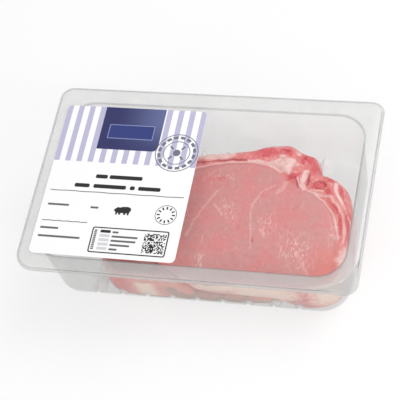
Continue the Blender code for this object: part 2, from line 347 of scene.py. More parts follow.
wall_mat = clear_material("tray_clear_wall", 0.115, 0.35, grey=203, ridge=0.3)
land_mat = clear_material("tray_milky_land", 0.27, 0.2, rough=0.25, grey=214)
lip_mat = clear_material("tray_lip", 0.42, 0.6, rough=0.08, grey=196)
edge_mat = clear_material("tray_cavity_edge", 0.3, 0.6, rough=0.1, grey=150)
tray = add_piece("tray_clear", build_tray(), (wall_mat, land_mat, lip_mat, edge_mat))
shell = tray.modifiers.new("sheet", "SOLIDIFY")
shell.thickness = SHEET * MM
shell.offset = 1.0
shell.use_even_offset = True
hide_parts("tray")


# ---- flat pieces ---------------------------------------------------------------------------------
def outline_box(low, high, radius, steps=8):
    """A rounded rectangle, anticlockwise from the front right; radius is one size or four."""
    points = []
    radii = radius if isinstance(radius, (tuple, list)) else [radius] * 4
    for k, (sx, sy) in enumerate(((1, -1), (1, 1), (-1, 1), (-1, -1))):
        radius = radii[k]
        cx = high[0] - radius if sx > 0 else low[0] + radius
        cy = high[1] - radius if sy > 0 else low[1] + radius
        for i in range(steps + 1):
            t = -math.pi / 2 + (k + i / steps) * math.pi / 2
            points.append((cx + radius * math.cos(t), cy + radius * math.sin(t)))
    return points


def plate(bm, points, low, high):
    """A closed flat plate over an outline given anticlockwise, in metres."""
    under = [bm.verts.new((x, y, low)) for x, y in points]
    over = [bm.verts.new((x, y, high)) for x, y in points]
    n = len(points)
    for i in range(n):
        j = (i + 1) % n
        bm.faces.new((under[i], under[j], over[j], over[i]))
    bm.faces.new(list(reversed(under)))
    bm.faces.new(over)


def build_film():
    """The lid film with its faint sag between the seals, as a fine grid on both faces."""
    bm = bmesh.new()
    half_x = (film_high.x - film_low.x) / 2
    half_y = (film_high.y - film_low.y) / 2
    corners = [r * MM for r in FILM_CORNERS]
    rim = outline_box((-half_x, -half_y), (half_x, half_y), corners, 8)
    sides = []
    for z in (film_low.z, film_high.z):
        rings = []
        for k in (1.0, 0.93, 0.84, 0.7, 0.5, 0.25):
            ring = []
            for x, y in rim:
                px, py = x * k, y * k
                sag = -FILM_SAG * MM * ease((1.0 - k) * 4.0)
                ring.append(bm.verts.new((px, py, z + (sag if k < 0.9 else 0.0))))
            rings.append(ring)
        middle = bm.verts.new((0, 0, z - FILM_SAG * MM))
        sides.append((rings, middle))
    n = len(rim)
    for (rings, middle), up in zip(sides, (False, True)):
        for outer, inner in zip(rings, rings[1:]):
            for i in range(n):
                j = (i + 1) % n
                quad = (outer[i], outer[j], inner[j], inner[i])
                bm.faces.new(quad if up else tuple(reversed(quad)))
        last = rings[-1]
        for i in range(n):
            j = (i + 1) % n
            tri = (last[i], last[j], middle)
            bm.faces.new(tri if up else tuple(reversed(tri)))
    low_rim, high_rim = sides[0][0][0], sides[1][0][0]
    for i in range(n):
        j = (i + 1) % n
        bm.faces.new((low_rim[i], low_rim[j], high_rim[j], high_rim[i]))
    return bm


film_mat = clear_material("film_clear", 0.012, 0.2, rough=0.06)
film = add_piece("film_clear", build_film(), (film_mat,), smooth=False)
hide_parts("lid_film")


def paper_material():
    s = Shader("label_white")
    grain = s.noise(s.place(), 1.2, 2.0)
    colour = s.mix(grain, srgb(247, 247, 248), srgb(252, 252, 252))
    body = s.node("ShaderNodeBsdfPrincipled", {"Base Color": colour, "Roughness": 0.45,
                                               "Normal": s.bump(grain, 0.00002)})
    return s.finish(body.outputs[0])


def ink_material(name, dark, pale, along=None, top=0.0):
    """A printed colour with a faint unevenness; along gives the x limits, in millimetres, of a fade that
    also grows a little towards the top edge."""
    s = Shader(name)
    place = s.place()
    if along:
        parts = s.node("ShaderNodeSeparateXYZ", {0: place})
        across = s.step(parts.outputs[0], along[0] + 8.0, along[1] + 4.0)
        share = s.math("MULTIPLY", across, s.step(parts.outputs[1], top - 42.0, top - 8.0))
    else:
        share = s.noise(place, 0.8, 2.0)
    body = s.node("ShaderNodeBsdfPrincipled", {"Base Color": s.mix(share, dark, pale), "Roughness": 0.42})
    return s.finish(body.outputs[0])


bm = bmesh.new()
paper = outline_box((label_low.x, label_low.y), (label_high.x, label_high.y), LABEL_CORNER * MM)
plate(bm, paper, label_low.z, label_high.z)
label = add_piece("label_paper", bm, (paper_material(),), smooth=False)
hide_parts("label")

# the print, in millimetres from the label's left and upper edges
PAPER_LEFT = label_low.x / MM
PAPER_TOP = label_high.y / MM
PAPER_WIDE = (label_high.x - label_low.x) / MM
INK_FOOT = label_high.z - 0.1 * MM
STRIPE_WIDE = 3.85
STRIPES = 13
STRIPE_CORNER = 3.4
FIELD_DEEP = 46.0
MARGIN = 0.05


def polar(u, v, radius, turn):
    return (u + radius * math.cos(turn), v + radius * math.sin(turn))


def arc(u, v, radius, start, end, steps):
    return [polar(u, v, radius, start + (end - start) * i / steps) for i in range(steps + 1)]


class Print:
    """One colour of print: closed plates a few hundredths of a millimetre proud of the paper."""

    def __init__(self, name, mat, layer):
        self.name = name
        self.mat = mat
        self.top = label_high.z + (0.03 + 0.02 * layer) * MM
        self.bm = bmesh.new()

    def shape(self, points):
        """A closed shape in either direction round; u runs right and v down from the paper's corner."""
        area = sum(p[0] * q[1] - q[0] * p[1] for p, q in zip(points, points[1:] + points[:1]))
        if area > 0:
            points = list(reversed(points))
        world = [((PAPER_LEFT + u) * MM, (PAPER_TOP - v) * MM) for u, v in points]
        plate(self.bm, world, INK_FOOT, self.top)

    def box(self, u0, v0, u1, v1, radius=0.0):
        if radius:
            self.shape(outline_box((u0, v0), (u1, v1), radius, 5))
        else:
            self.shape([(u0, v0), (u1, v0), (u1, v1), (u0, v1)])

    def ring(self, u, v, radius, wide, steps=48):
        turns = [2 * math.pi * i / steps for i in range(steps)]
        self.hoop([polar(u, v, radius, t) for t in turns], [polar(u, v, radius - wide, t) for t in turns])

    def tick(self, u, v, turn, near, far, half):
        """A short straight bar pointing away from (u, v)."""
        side = (-half * math.sin(turn), half * math.cos(turn))
        ends = [(polar(u, v, reach, turn), sign) for reach,
                sign in ((near, -1), (far, -1), (far, 1), (near, 1))]
        self.shape([(end[0] + sign * side[0], end[1] + sign * side[1]) for end, sign in ends])

    def bar(self, u0, u1, v, tall):
        """One plain rounded bar, standing where a word or a line of small print sits."""
        self.box(u0, v + 0.3 * tall, u1, v + 0.95 * tall, 0.22 * tall)

    def hoop(self, outer, inner):
        """One closed ring-shaped solid."""
        layers = []
        for points in (outer, inner):
            world = [((PAPER_LEFT + u) * MM, (PAPER_TOP - v) * MM) for u, v in points]
            layers.append([[self.bm.verts.new((x, y, z)) for x, y in world]
                           for z in (INK_FOOT, self.top)])
        (ol, oh), (il, ih) = layers
        n = len(outer)
        for i in range(n):
            j = (i + 1) % n
            for quad in ((oh[i], oh[j], ih[j], ih[i]), (ol[j], ol[i], il[i], il[j]),
                         (ol[i], ol[j], oh[j], oh[i]), (il[j], il[i], ih[i], ih[j])):
                self.bm.faces.new(quad)

    def place(self):
        bmesh.ops.recalc_face_normals(self.bm, faces=self.bm.faces)
        piece = add_piece(self.name, self.bm, (self.mat,), smooth=False)
        return piece


lilac = Print("print_lilac", ink_material("ink_lilac", srgb(186, 183, 211), srgb(192, 189, 216)), 0)
NAVY_LEFT, NAVY_RIGHT, NAVY_DEEP = 28.2, 71.7, 34.9
NAVY_CORNER = 4.0
for i in range(STRIPES):
    u0 = MARGIN + i * (PAPER_WIDE - STRIPE_WIDE - 2 * MARGIN) / (STRIPES - 1)
    u1 = u0 + STRIPE_WIDE
    if i in (0, STRIPES - 1):
        side = -1 if i == 0 else 1
        far = (u0 if i == 0 else u1) - side * STRIPE_CORNER
        inner = u1 if i == 0 else u0
        turns = [k / 6 * math.pi / 2 * 0.999 for k in range(7)]
        bend = [(far + side * (STRIPE_CORNER - MARGIN) * math.cos(t),
                 STRIPE_CORNER + MARGIN - STRIPE_CORNER * math.sin(t)) for t in turns]
        lilac.shape([(bend[0][0], FIELD_DEEP)] + bend + [(inner, 0.06), (inner, FIELD_DEEP)])
    elif u1 < NAVY_LEFT or u0 > NAVY_RIGHT:
        lilac.box(u0, MARGIN, u1, FIELD_DEEP)
    else:
        for a, b in ((u0, min(u1, NAVY_LEFT)), (max(u0, NAVY_RIGHT), u1)):
            if b - a > 0.2 and (a < NAVY_LEFT or a >= NAVY_RIGHT):
                lilac.box(a, MARGIN, b, FIELD_DEEP)
        a, b = max(u0, NAVY_LEFT), min(u1, NAVY_RIGHT)
        if b - a > 0.2:
            lilac.box(a, NAVY_DEEP, b, FIELD_DEEP)
lilac.place()

navy_x = (PAPER_LEFT + NAVY_LEFT, PAPER_LEFT + NAVY_RIGHT)
navy = Print("print_navy", ink_material("ink_navy", srgb(41, 44, 98), srgb(96, 106, 152), navy_x, PAPER_TOP),
             1)
turns = [k / 6 * math.pi / 2 for k in range(7)]
corner = [(NAVY_RIGHT + NAVY_CORNER * (math.sin(t) - 1.0), NAVY_DEEP + NAVY_CORNER * (math.cos(t) - 1.0))
          for t in turns]
navy.shape([(NAVY_LEFT, 0.06), (NAVY_LEFT, NAVY_DEEP)] + corner + [(NAVY_RIGHT, 0.06)])
navy.place()
# a bare plate within the navy field
plate_fill = Print("print_plate", ink_material("ink_plate", srgb(40, 52, 118), srgb(44, 58, 126)), 2)
plate_fill.box(34.2, 14.8, 66.0, 25.4)
plate_fill.place()
plate_edge = Print("print_plate_edge", ink_material("ink_plate_edge", srgb(140, 150, 190),
                                                    srgb(150, 160, 200)), 3)
plate_edge.hoop(outline_box((33.8, 14.3), (66.4, 25.9), 0.4, 3),
                outline_box((34.3, 14.8), (65.9, 25.4), 0.2, 3))
plate_edge.place()

slate = Print("print_slate", ink_material("ink_slate", srgb(104, 106, 122), srgb(120, 122, 136)), 3)
RING_U, RING_V, RING_OUT, RING_IN = 85.6, 34.8, 15.1, 9.4
slate.ring(RING_U, RING_V, RING_OUT, 0.55)
slate.ring(RING_U, RING_V, RING_IN, 0.5)
for k in range(16):
    a0 = 2 * math.pi * (k + 0.12) / 16
    a1 = 2 * math.pi * (k + 0.78) / 16
    inner = [(RING_U + 11.3 * math.cos(t), RING_V + 11.4 * math.sin(t))
             for t in [a1 + (a0 - a1) * i / 4 for i in range(5)]]
    slate.shape(arc(RING_U, RING_V, 13.4, a0, a1, 4) + inner)
# the middle of the ring: a plain disc with four short bars about it
slate.shape([polar(RING_U, RING_V, 2.6, 2 * math.pi * k / 20) for k in range(20)])
for k in range(4):
    slate.tick(RING_U, RING_V, math.pi / 4 + k * math.pi / 2, 4.0, 7.4, 0.6)
slate.place()

pale = Print("print_pale", ink_material("ink_pale", srgb(206, 206, 210), srgb(214, 214, 218)), 1)
black = Print("print_black", ink_material("ink_black", srgb(24, 24, 27), srgb(34, 34, 38)), 1)
grey = Print("print_grey", ink_material("ink_grey", srgb(92, 92, 95), srgb(104, 104, 107)), 1)
TITLE = ((54.6, ((33.2, 41.6), (43.0, 66.2))), (62.4,
                                                ((19.8, 30.4), (33.2, 56.2), (59.0, 62.4), (64.8, 80.4))))
for v, runs in TITLE:
    for u0, u1 in runs:
        black.bar(u0, u1, v - 0.3, 4.6)
for u0, u1, v in ((3.5, 97.5, 69.6), (3.5, 35.5, 93.6)):
    steps = 16
    upper = [(u0 + (u1 - u0) * i / steps, v + 0.18 * math.sin(i * 1.9)) for i in range(steps + 1)]
    grey.shape(upper + [(u, w + 0.6) for u, w in reversed(upper)])
for u0, u1, v in ((4.6, 19.6, 79.8), (35.0, 40.6, 80.4), (3.6, 16.4, 98.2), (3.6, 33.0, 104.6)):
    grey.bar(u0, u1, v, 2.3)
# a plain pig outline, facing left
pig = ((51.6, 82.7), (52.6, 81.4), (54.2, 80.2), (55.4, 80.6), (57.5, 79.9), (61.0, 79.7), (63.0, 80.5),
       (63.6, 81.6),
       (63.2, 83.2), (62.6, 84.4), (62.4, 86.2), (61.4, 86.2), (61.2, 84.8), (60.4, 84.6), (59.9, 86.2),
       (59.0, 86.2),
       (58.6, 84.7), (56.8, 84.8), (56.4, 86.2), (55.4, 86.2), (55.2, 84.8), (54.6, 84.6), (54.1, 86.2),
       (53.2, 86.2),
       (53.2, 84.3), (52.4, 83.6))
black.shape(list(pig))
SEAL_U, SEAL_V = 88.0, 83.9
grey.ring(SEAL_U, SEAL_V, 7.5, 0.45, 40)
for k in range(12):
    black.tick(SEAL_U, SEAL_V, 2 * math.pi * k / 12, 4.2, 6.3, 0.5)
FRAME_LOW, FRAME_HIGH, FRAME_LINE = (40.4, 96.4), (93.4, 116.0), 0.85
black.hoop(outline_box(FRAME_LOW, FRAME_HIGH, 1.6, 5),
           outline_box([a + FRAME_LINE for a in FRAME_LOW], [a - FRAME_LINE for a in FRAME_HIGH], 1.0, 5))
for k in range(11):
    grey.box(42.1, 98.6 + k * 1.4, 43.9, 99.6 + k * 1.4)
for row, wide in enumerate((4.2, 18.0, 17.2, 13.6, 5.6)):
    v = 99.5 + row * 3.25
    (black if row == 0 else pale).box(46.2, v - 1.05, 53.3, v + 1.05, 0.5)
    grey.bar(54.6, 54.6 + wide, v - 1.1, 2.2)
# a square of dots, drawn at random: it encodes nothing
CELLS, CELL, SQUARE_U, SQUARE_V = 19, 14.8 / 19, 77.0, 98.9
dots = random.Random(7)
for r in range(CELLS):
    v = SQUARE_V + r * CELL
    c = 0
    while c < CELLS:
        if dots.random() < 0.38:
            c += 1
            continue
        wide = 1
        while c + wide < CELLS and dots.random() < 0.5:
            wide += 1
        black.box(SQUARE_U + c * CELL, v, SQUARE_U + (c + wide) * CELL, v + CELL)
        c += wide + 1
black.place()
grey.place()
pale.place()

# ---- chops ---------------------------------------------------------------------------------------
CHOP_BED = GROOVE_DEPTH + 2 * SHEET + 0.6
CHOP_THICK = 17.2
CHOP_GAP = 1.3
EDGE_SOFT = 7.5
FOOT_SOFT = 1.8
FOOT_GAP = 0.5
LEFT_RISE = 5.0
FRONT_THIN = 5.0
DRAPE_FROM, DRAPE_TO = 1.5, 8.0
LOWER_CENTRE = (6.0, -10.0)
LOWER_OUTLINE = ((86.0, -22.0), (83.0, -40.0), (72.0, -50.0), (54.0, -57.0), (30.0, -59.4), (4.0, -60.0),
                 (-18.0, -60.1), (-42.0, -59.9), (-58.0, -57.0), (-66.5, -47.0), (-69.0, -32.0),
                 (-66.0, -14.0),
                 (-56.0, 0.0), (-38.0, 15.0), (-14.0, 26.0), (12.0, 33.0), (38.0, 36.0), (58.0, 31.0),
                 (72.0, 18.0), (82.0, 0.0))
UPPER_CENTRE = (34.0, -12.0)
UPPER_OUTLINE = ((102.0, -16.0), (101.8, -34.0), (98.6, -48.2), (89.2, -56.8), (70.0, -59.8),
                 (34.0, -60.2), (10.0, -59.8), (-8.0, -56.8), (-24.0, -50.0), (-38.0, -40.0),
                 (-47.0, -26.0), (-49.0, -8.0), (-42.0, 10.0), (-28.0, 25.0), (-8.0, 34.0), (14.0, 37.5),
                 (30.0, 41.2), (38.5, 45.6), (46.0, 46.6), (54.0, 46.4), (61.0, 42.4), (67.0, 40.0),
                 (72.0, 38.2),
                 (74.6, 33.0), (75.0, 27.0), (77.8, 23.2), (82.0, 23.4), (86.6, 21.8), (92.0, 18.6),
                 (96.4, 14.4),
                 (98.6, 7.0), (100.6, 0.0))
EYE_OUTLINE = ((95.0, -30.0), (93.0, -18.0), (89.0, -8.0), (82.0, 1.0), (74.0, 7.0), (64.0, 11.0),
               (56.0, 14.5),
               (51.0, 20.0), (42.0, 25.5), (30.0, 28.0), (14.0, 27.0), (0.0, 23.5), (-14.0, 18.0),
               (-28.0, 8.0),
               (-38.0, -8.0), (-38.0, -26.0), (-28.0, -42.0), (-10.0, -54.0), (10.0, -64.0), (50.0, -68.0),
               (84.0, -62.0), (95.0, -46.0))
EYE_CENTRE = (36.0, -20.0)
EYE_HALF = (62.0, 50.0)
EYE_RISE = 1.6
SEAM_DIP = 1.8
FRONT_SAG = 3.0


def smooth_outline(points, count):
    """Evenly spaced points on a smooth closed curve through the given ones."""
    dense = []
    n = len(points)
    for i in range(n):
        p0, p1, p2, p3 = (points[(i + k - 1) % n] for k in range(4))
        for step in range(12):
            t = step / 12
            dense.append(tuple(
                0.5 * (2 * b + (c - a) * t + (2 * a - 5 * b + 4 * c - d) * t * t
                       + (3 * b - a - 3 * c + d) * t ** 3)
                for a, b, c, d in zip(p0, p1, p2, p3)
            ))
    dense.append(dense[0])
    lengths = [0.0]
    for p, q in zip(dense, dense[1:]):
        lengths.append(lengths[-1] + math.dist(p, q))
    curve = []
    k = 0
    for i in range(count):
        want = lengths[-1] * i / count
        while lengths[k + 1] < want:
            k += 1
        t = (want - lengths[k]) / (lengths[k + 1] - lengths[k])
        curve.append(tuple(p + (q - p) * t for p, q in zip(dense[k], dense[k + 1])))
    return curve


def line_distance(x, y, points, closed=False):
    best = np.full(x.shape, 1e9)
    pairs = list(zip(points, points[1:])) + ([(points[-1], points[0])] if closed else [])
    for (x0, y0), (x1, y1) in pairs:
        dx, dy = x1 - x0, y1 - y0
        t = np.clip(((x - x0) * dx + (y - y0) * dy) / (dx * dx + dy * dy), 0.0, 1.0)
        best = np.minimum(best, np.hypot(x - x0 - t * dx, y - y0 - t * dy))
    return best


def signed_distance(x, y, curve):
    """Distance from a closed line, negative inside it."""
    inside = np.zeros(x.shape, bool)
    for (x0, y0), (x1, y1) in zip(curve, curve[1:] + curve[:1]):
        if y0 != y1:
            inside ^= ((y0 > y) != (y1 > y)) & (x < x0 + (y - y0) * (x1 - x0) / (y1 - y0))
    d = line_distance(x, y, curve, True)
    return np.where(inside, -d, d)


def nearness(x, y, shapes):
    """Smallest share of a shape's size at which a point lies: under 1 is inside one of the shapes.
    A shape is a bent line with a half width, or an ellipse (cx, cy, rx, ry, turn in degrees)."""
    best = np.full(x.shape, 9.0)
    for shape in shapes:
        if isinstance(shape[0], tuple):
            points, half = shape
            best = np.minimum(best, line_distance(x, y, points) / half)
        else:
            cx, cy, rx, ry, turn = shape
            c, s = math.cos(math.radians(turn)), math.sin(math.radians(turn))
            dx, dy = x - cx, y - cy
            best = np.minimum(best, np.hypot((dx * c + dy * s) / rx, (-dx * s + dy * c) / ry))
    return best


class Chart:
    """A field worked out once on a fine square grid and read between its points."""

    def __init__(self, low, high, step, field, *args):
        self.low = low
        self.step = step
        xs = np.arange(low[0], high[0] + step, step)
        ys = np.arange(low[1], high[1] + step, step)
        x, y = np.meshgrid(xs, ys)
        self.values = field(x, y, *args)

    def __call__(self, x, y):
        rows, columns = self.values.shape
        u = min(max((x - self.low[0]) / self.step, 0.0), columns - 1.001)
        v = min(max((y - self.low[1]) / self.step, 0.0), rows - 1.001)
        i, j = int(u), int(v)
        u -= i
        v -= j
        a = self.values[j, i] * (1 - u) + self.values[j, i + 1] * u
        b = self.values[j + 1, i] * (1 - u) + self.values[j + 1, i + 1] * u
        return float(a * (1 - v) + b * v)


def left_rise(x):
    return LEFT_RISE * ease((-x - 6.0) / 24.0)


def lower_top(x, y):
    squeeze = ease((-y - 36.0) / 20.0) * ease((x + 16.0) / 18.0)
    return CHOP_BED + CHOP_THICK - (CHOP_THICK - FRONT_THIN) * squeeze + left_rise(x)


PLAN = ((-78.0, -72.0), (112.0, 56.0))
UNDER = Chart(*PLAN, 1.0, signed_distance, smooth_outline(LOWER_OUTLINE, 90))
EYE = Chart(*PLAN, 0.7, signed_distance, smooth_outline(EYE_OUTLINE, 160))


def foot(x, y):
    """The meat's underside, sunk between the ridges of the tray."""
    return SHEET + FOOT_GAP + blend_up(0.0, groove_rise(x)) + 0.5


def upper_base(x, y):
    hang = ease((UNDER(x, y) - DRAPE_FROM) / (DRAPE_TO - DRAPE_FROM))
    rest = lower_top(x, y) + CHOP_GAP
    return rest + (foot(x, y) - rest) * hang


def upper_top(x, y):
    r = math.hypot((x - EYE_CENTRE[0]) / EYE_HALF[0], (y - EYE_CENTRE[1]) / EYE_HALF[1])
    dome = EYE_RISE * ease(1.25 - r)
    sag = FRONT_SAG * ease((-y - 38.0) / 24.0) + FRONT_SAG * ease((x - 84.0) / 20.0)
    seam = EYE(x, y)
    dip = SEAM_DIP * math.exp(-((seam - 0.6) / 2.2) ** 2)
    return CHOP_BED + 2 * CHOP_THICK + CHOP_GAP + left_rise(x) + dome - dip - sag


def lumps(x, y, z, size, seed):
    return noise.noise(Vector((x / size + seed, y / size - seed, z / size)))


# what shows on the upper face of the upper chop, back and right of the round muscle; (x, y)
TOP = {
    "fat": ((((-34.0, 24.0), (-14.0, 30.0), (4.0, 32.5), (12.0, 34.0)), 3.8),
            (((26.0, 30.0), (36.0, 29.2), (44.0, 27.0)), 0.7),
            (((43.0, 28.0), (50.0, 25.5), (55.0, 22.4)), 2.4),
            (47.5, 29.8, 4.4, 2.6, 10.0), (54.5, 28.4, 5.0, 3.2, -10.0),
            (((52.0, 31.5), (57.0, 31.0), (60.0, 27.5)), 1.5),
            (49.2, 34.4, 2.8, 0.8, -8.0), (59.6, 36.6, 1.9, 1.3, -30.0), (66.8, 22.6, 1.9, 1.5, 0.0),
            (((66.2, 21.0), (66.0, 17.0), (65.6, 13.0), (67.4, 9.6)), 1.7),
            (((88.4, 14.1), (88.4, 9.6), (90.6, 5.4), (94.6, 0.6)), 0.9),
            (100.6, -37.0, 4.0, 8.0, -10.0), (81.5, 20.6, 1.6, 0.8, 0.0)),
    "deep": ((38.5, 36.2, 8.5, 3.4, 14.0), (50.0, 39.8, 6.5, 1.7, -8.0), (53.4, 36.8, 2.5, 2.2, 0.0),
             (67.6, 33.2, 6.0, 3.4, -25.0), (72.0, 26.5, 2.9, 6.5, 0.0), (63.2, 30.5, 1.8, 3.0, 0.0),
             (58.8, 18.6, 4.8, 2.3, 25.0), (77.8, 12.6, 4.4, 3.2, 0.0), (84.4, 17.6, 3.0, 2.2, -20.0),
             (84.0, 8.0, 4.2, 1.8, -25.0), (92.2, 9.0, 1.3, 5.5, 22.0), (100.0, -14.0, 2.2, 9.0, 8.0),
             (0.0, 29.0, 2.4, 1.2, 0.0), (-2.0, 33.0, 2.6, 1.4, 0.0), (39.5, -33.5, 1.0, 2.0, 15.0),
             (89.6, -3.6, 1.6, 5.0, 35.0), (95.0, -16.0, 1.3, 8.0, 8.0), (10.0, 13.0, 2.6, 1.0, 10.0)),
    "line": ((((-30.0, 12.0), (-14.0, 19.6), (0.0, 24.6), (14.0, 27.8), (30.0, 28.8), (42.0, 26.4),
               (50.0, 21.6)), 0.7),
             (((62.6, 12.2), (68.0, 9.8), (74.0, 6.4), (82.0, 0.6), (89.0, -7.4), (93.0, -17.5),
               (94.6, -26.0)), 0.6),
             (((74.6, 6.2), (80.0, 5.8), (86.0, 3.6), (91.0, -1.0), (96.0, -9.0), (98.2, -18.0),
               (98.0, -28.0)), 0.8),
             (((88.6, 15.4), (89.0, 9.0), (93.0, 2.6), (96.0, -2.0)), 1.0),
             (((62.0, 17.6), (63.0, 13.4), (68.6, 9.2)), 0.6),
             (((72.0, 9.4), (75.6, 8.0), (80.0, 8.6)), 0.5),
             (((34.0, 40.4), (44.0, 40.6), (54.0, 40.6), (59.0, 37.6)), 0.45),
             (((96.0, -2.0), (100.0, -9.0), (101.4, -18.0)), 0.5)),
    "dark": ((((-34.0, 17.0), (-14.0, 23.0), (2.0, 27.4), (14.0, 29.4), (24.0, 29.8)), 0.5),
             (((60.0, 17.6), (61.8, 14.4), (63.2, 10.4)), 0.7),
             (((69.6, 20.0), (69.8, 16.0), (69.4, 12.4)), 0.7),
             (((76.0, 7.0), (83.0, 5.2), (89.6, 1.0), (95.4, -7.0), (97.6, -14.0)), 0.35),
             (((73.8, 11.6), (74.2, 14.2), (76.6, 16.0), (80.4, 14.8), (81.8, 12.0), (79.4, 9.4),
               (75.4, 9.8)), 0.6),
             (64.4, 33.4, 0.9, 1.6, 25.0), (71.6, 29.8, 0.7, 0.7, 0.0), (72.6, 26.8, 0.7, 0.7, 0.0),
             (69.4, 29.6, 0.5, 0.5, 0.0),
             (51.5, 31.0, 0.6, 0.6, 0.0), (52.6, 37.8, 1.6, 0.7, 0.0), (95.5, -2.0, 0.6, 0.6, 0.0),
             (67.6, 21.6, 0.6, 1.0, 20.0), (39.3, -34.6, 0.5, 0.9, 15.0)),
    "thread": ((((48.0, 10.0), (40.0, 4.0), (36.0, -4.0), (34.6, -14.0), (38.0, -28.0), (39.0, -40.0)), 0.7),
               (((10.0, 4.0), (5.0, -6.0), (-2.0, -20.0), (-6.0, -34.0)), 0.8),
               (((54.6, 13.0), (53.6, 8.0), (50.6, 4.4)), 1.5), (((9.0, -8.0), (16.0, -16.0)), 0.8),
               (((6.0, -47.0), (8.0, -55.0)), 0.9), (((45.0, -26.0), (47.0, -30.0)), 1.0),
               (((74.0, -46.0), (79.0, -54.0)), 0.9), (((-12.0, -2.0), (-20.0, -20.0), (-20.0, -40.0)), 0.8),
               (((86.0, -1.0), (90.0, -5.0), (93.0, -13.0)), 0.5), (((7.0, 15.0), (12.0, 12.0)), 0.5),
               (((14.0, 16.0), (19.0, 12.0)), 0.5), (((2.0, 15.0), (5.0, 19.0)), 0.5)),
    # gleam: where the painted highlight flecks go
    "gleam": ((70.0, -38.0, 13.0, 17.0, 20.0), (46.0, -22.0, 8.0, 10.0, 0.0), (92.0, -20.0, 4.0, 12.0, 0.0),
              (20.0, -12.0, 6.0, 12.0, 30.0), (6.0, -50.0, 5.0, 7.0, 0.0)),
}
# what shows on its front; (x, height above the sealing land)
FRONT = {
    "fat": ((((4.0, -35.0), (18.0, -33.0), (32.0, -28.0), (45.0, -27.0)), 3.8),
            (48.0, -36.0, 24.0, 13.0, 0.0),
            (92.0, -36.0, 13.0, 18.0, 0.0), (78.0, -20.0, 24.0, 3.0, 0.0)),
    "deep": ((((56.0, -46.0), (65.0, -42.5), (75.0, -40.0), (87.0, -33.5)), 3.2),),
    "line": ((((-9.0, -22.0), (-5.0, -27.0), (0.0, -35.5), (7.0, -38.5), (22.0, -40.0)), 1.1),
             (((2.0, -34.0), (16.0, -30.5), (35.0, -24.0)), 0.8)),
    # shade: painted shade, grey-brown where the front lies in shadow
    "shade": ((((-8.0, -46.0), (22.0, -46.0)), 5.0), (66.0, -44.0, 4.0, 1.6, 0.0),
              (36.0, -51.0, 12.0, 2.4, 0.0)),
}
LOWER_FRONT = {
    "fat": ((((-35.0, -20.0), (-35.0, -34.0), (-33.0, -50.0)), 6.2), (48.0, -44.0, 26.0, 9.0, 0.0)),
    "deep": ((-53.0, -36.0, 8.0, 18.0, 0.0), (-28.0, -27.0, 3.0, 2.0, 0.0), (-15.0, -26.0, 7.0, 3.0, 0.0)),
    "line": ((((-27.0, -23.0), (-26.0, -33.0), (-28.0, -40.0), (-24.0, -50.0)), 0.8),),
    # shade: painted shade, grey-brown where the lower chop's front lies in shadow
    "shade": ((((-2.0, -45.0), (10.0, -46.0), (20.0, -47.0)), 9.0), (-16.0, -42.0, 4.0, 9.0, 0.0),
              (40.0, -53.0, 20.0, 3.0, 0.0), (-42.0, -53.0, 26.0, 2.0, 0.0)),
}
LOWER_TOP = {
    "fat": ((((-66.0, -20.0), (-56.0, -2.0), (-38.0, 13.0), (-14.0, 24.0)), 5.0),),
    "deep": ((-52.0, -48.0, 12.0, 10.0, 0.0), (-28.0, -54.0, 4.0, 4.0, 0.0)),
    "line": ((((-58.0, -30.0), (-50.0, -8.0), (-34.0, 6.0)), 0.9),),
}
SHAPES = ("fat", "deep", "line", "dark", "thread", "gleam", "shade")


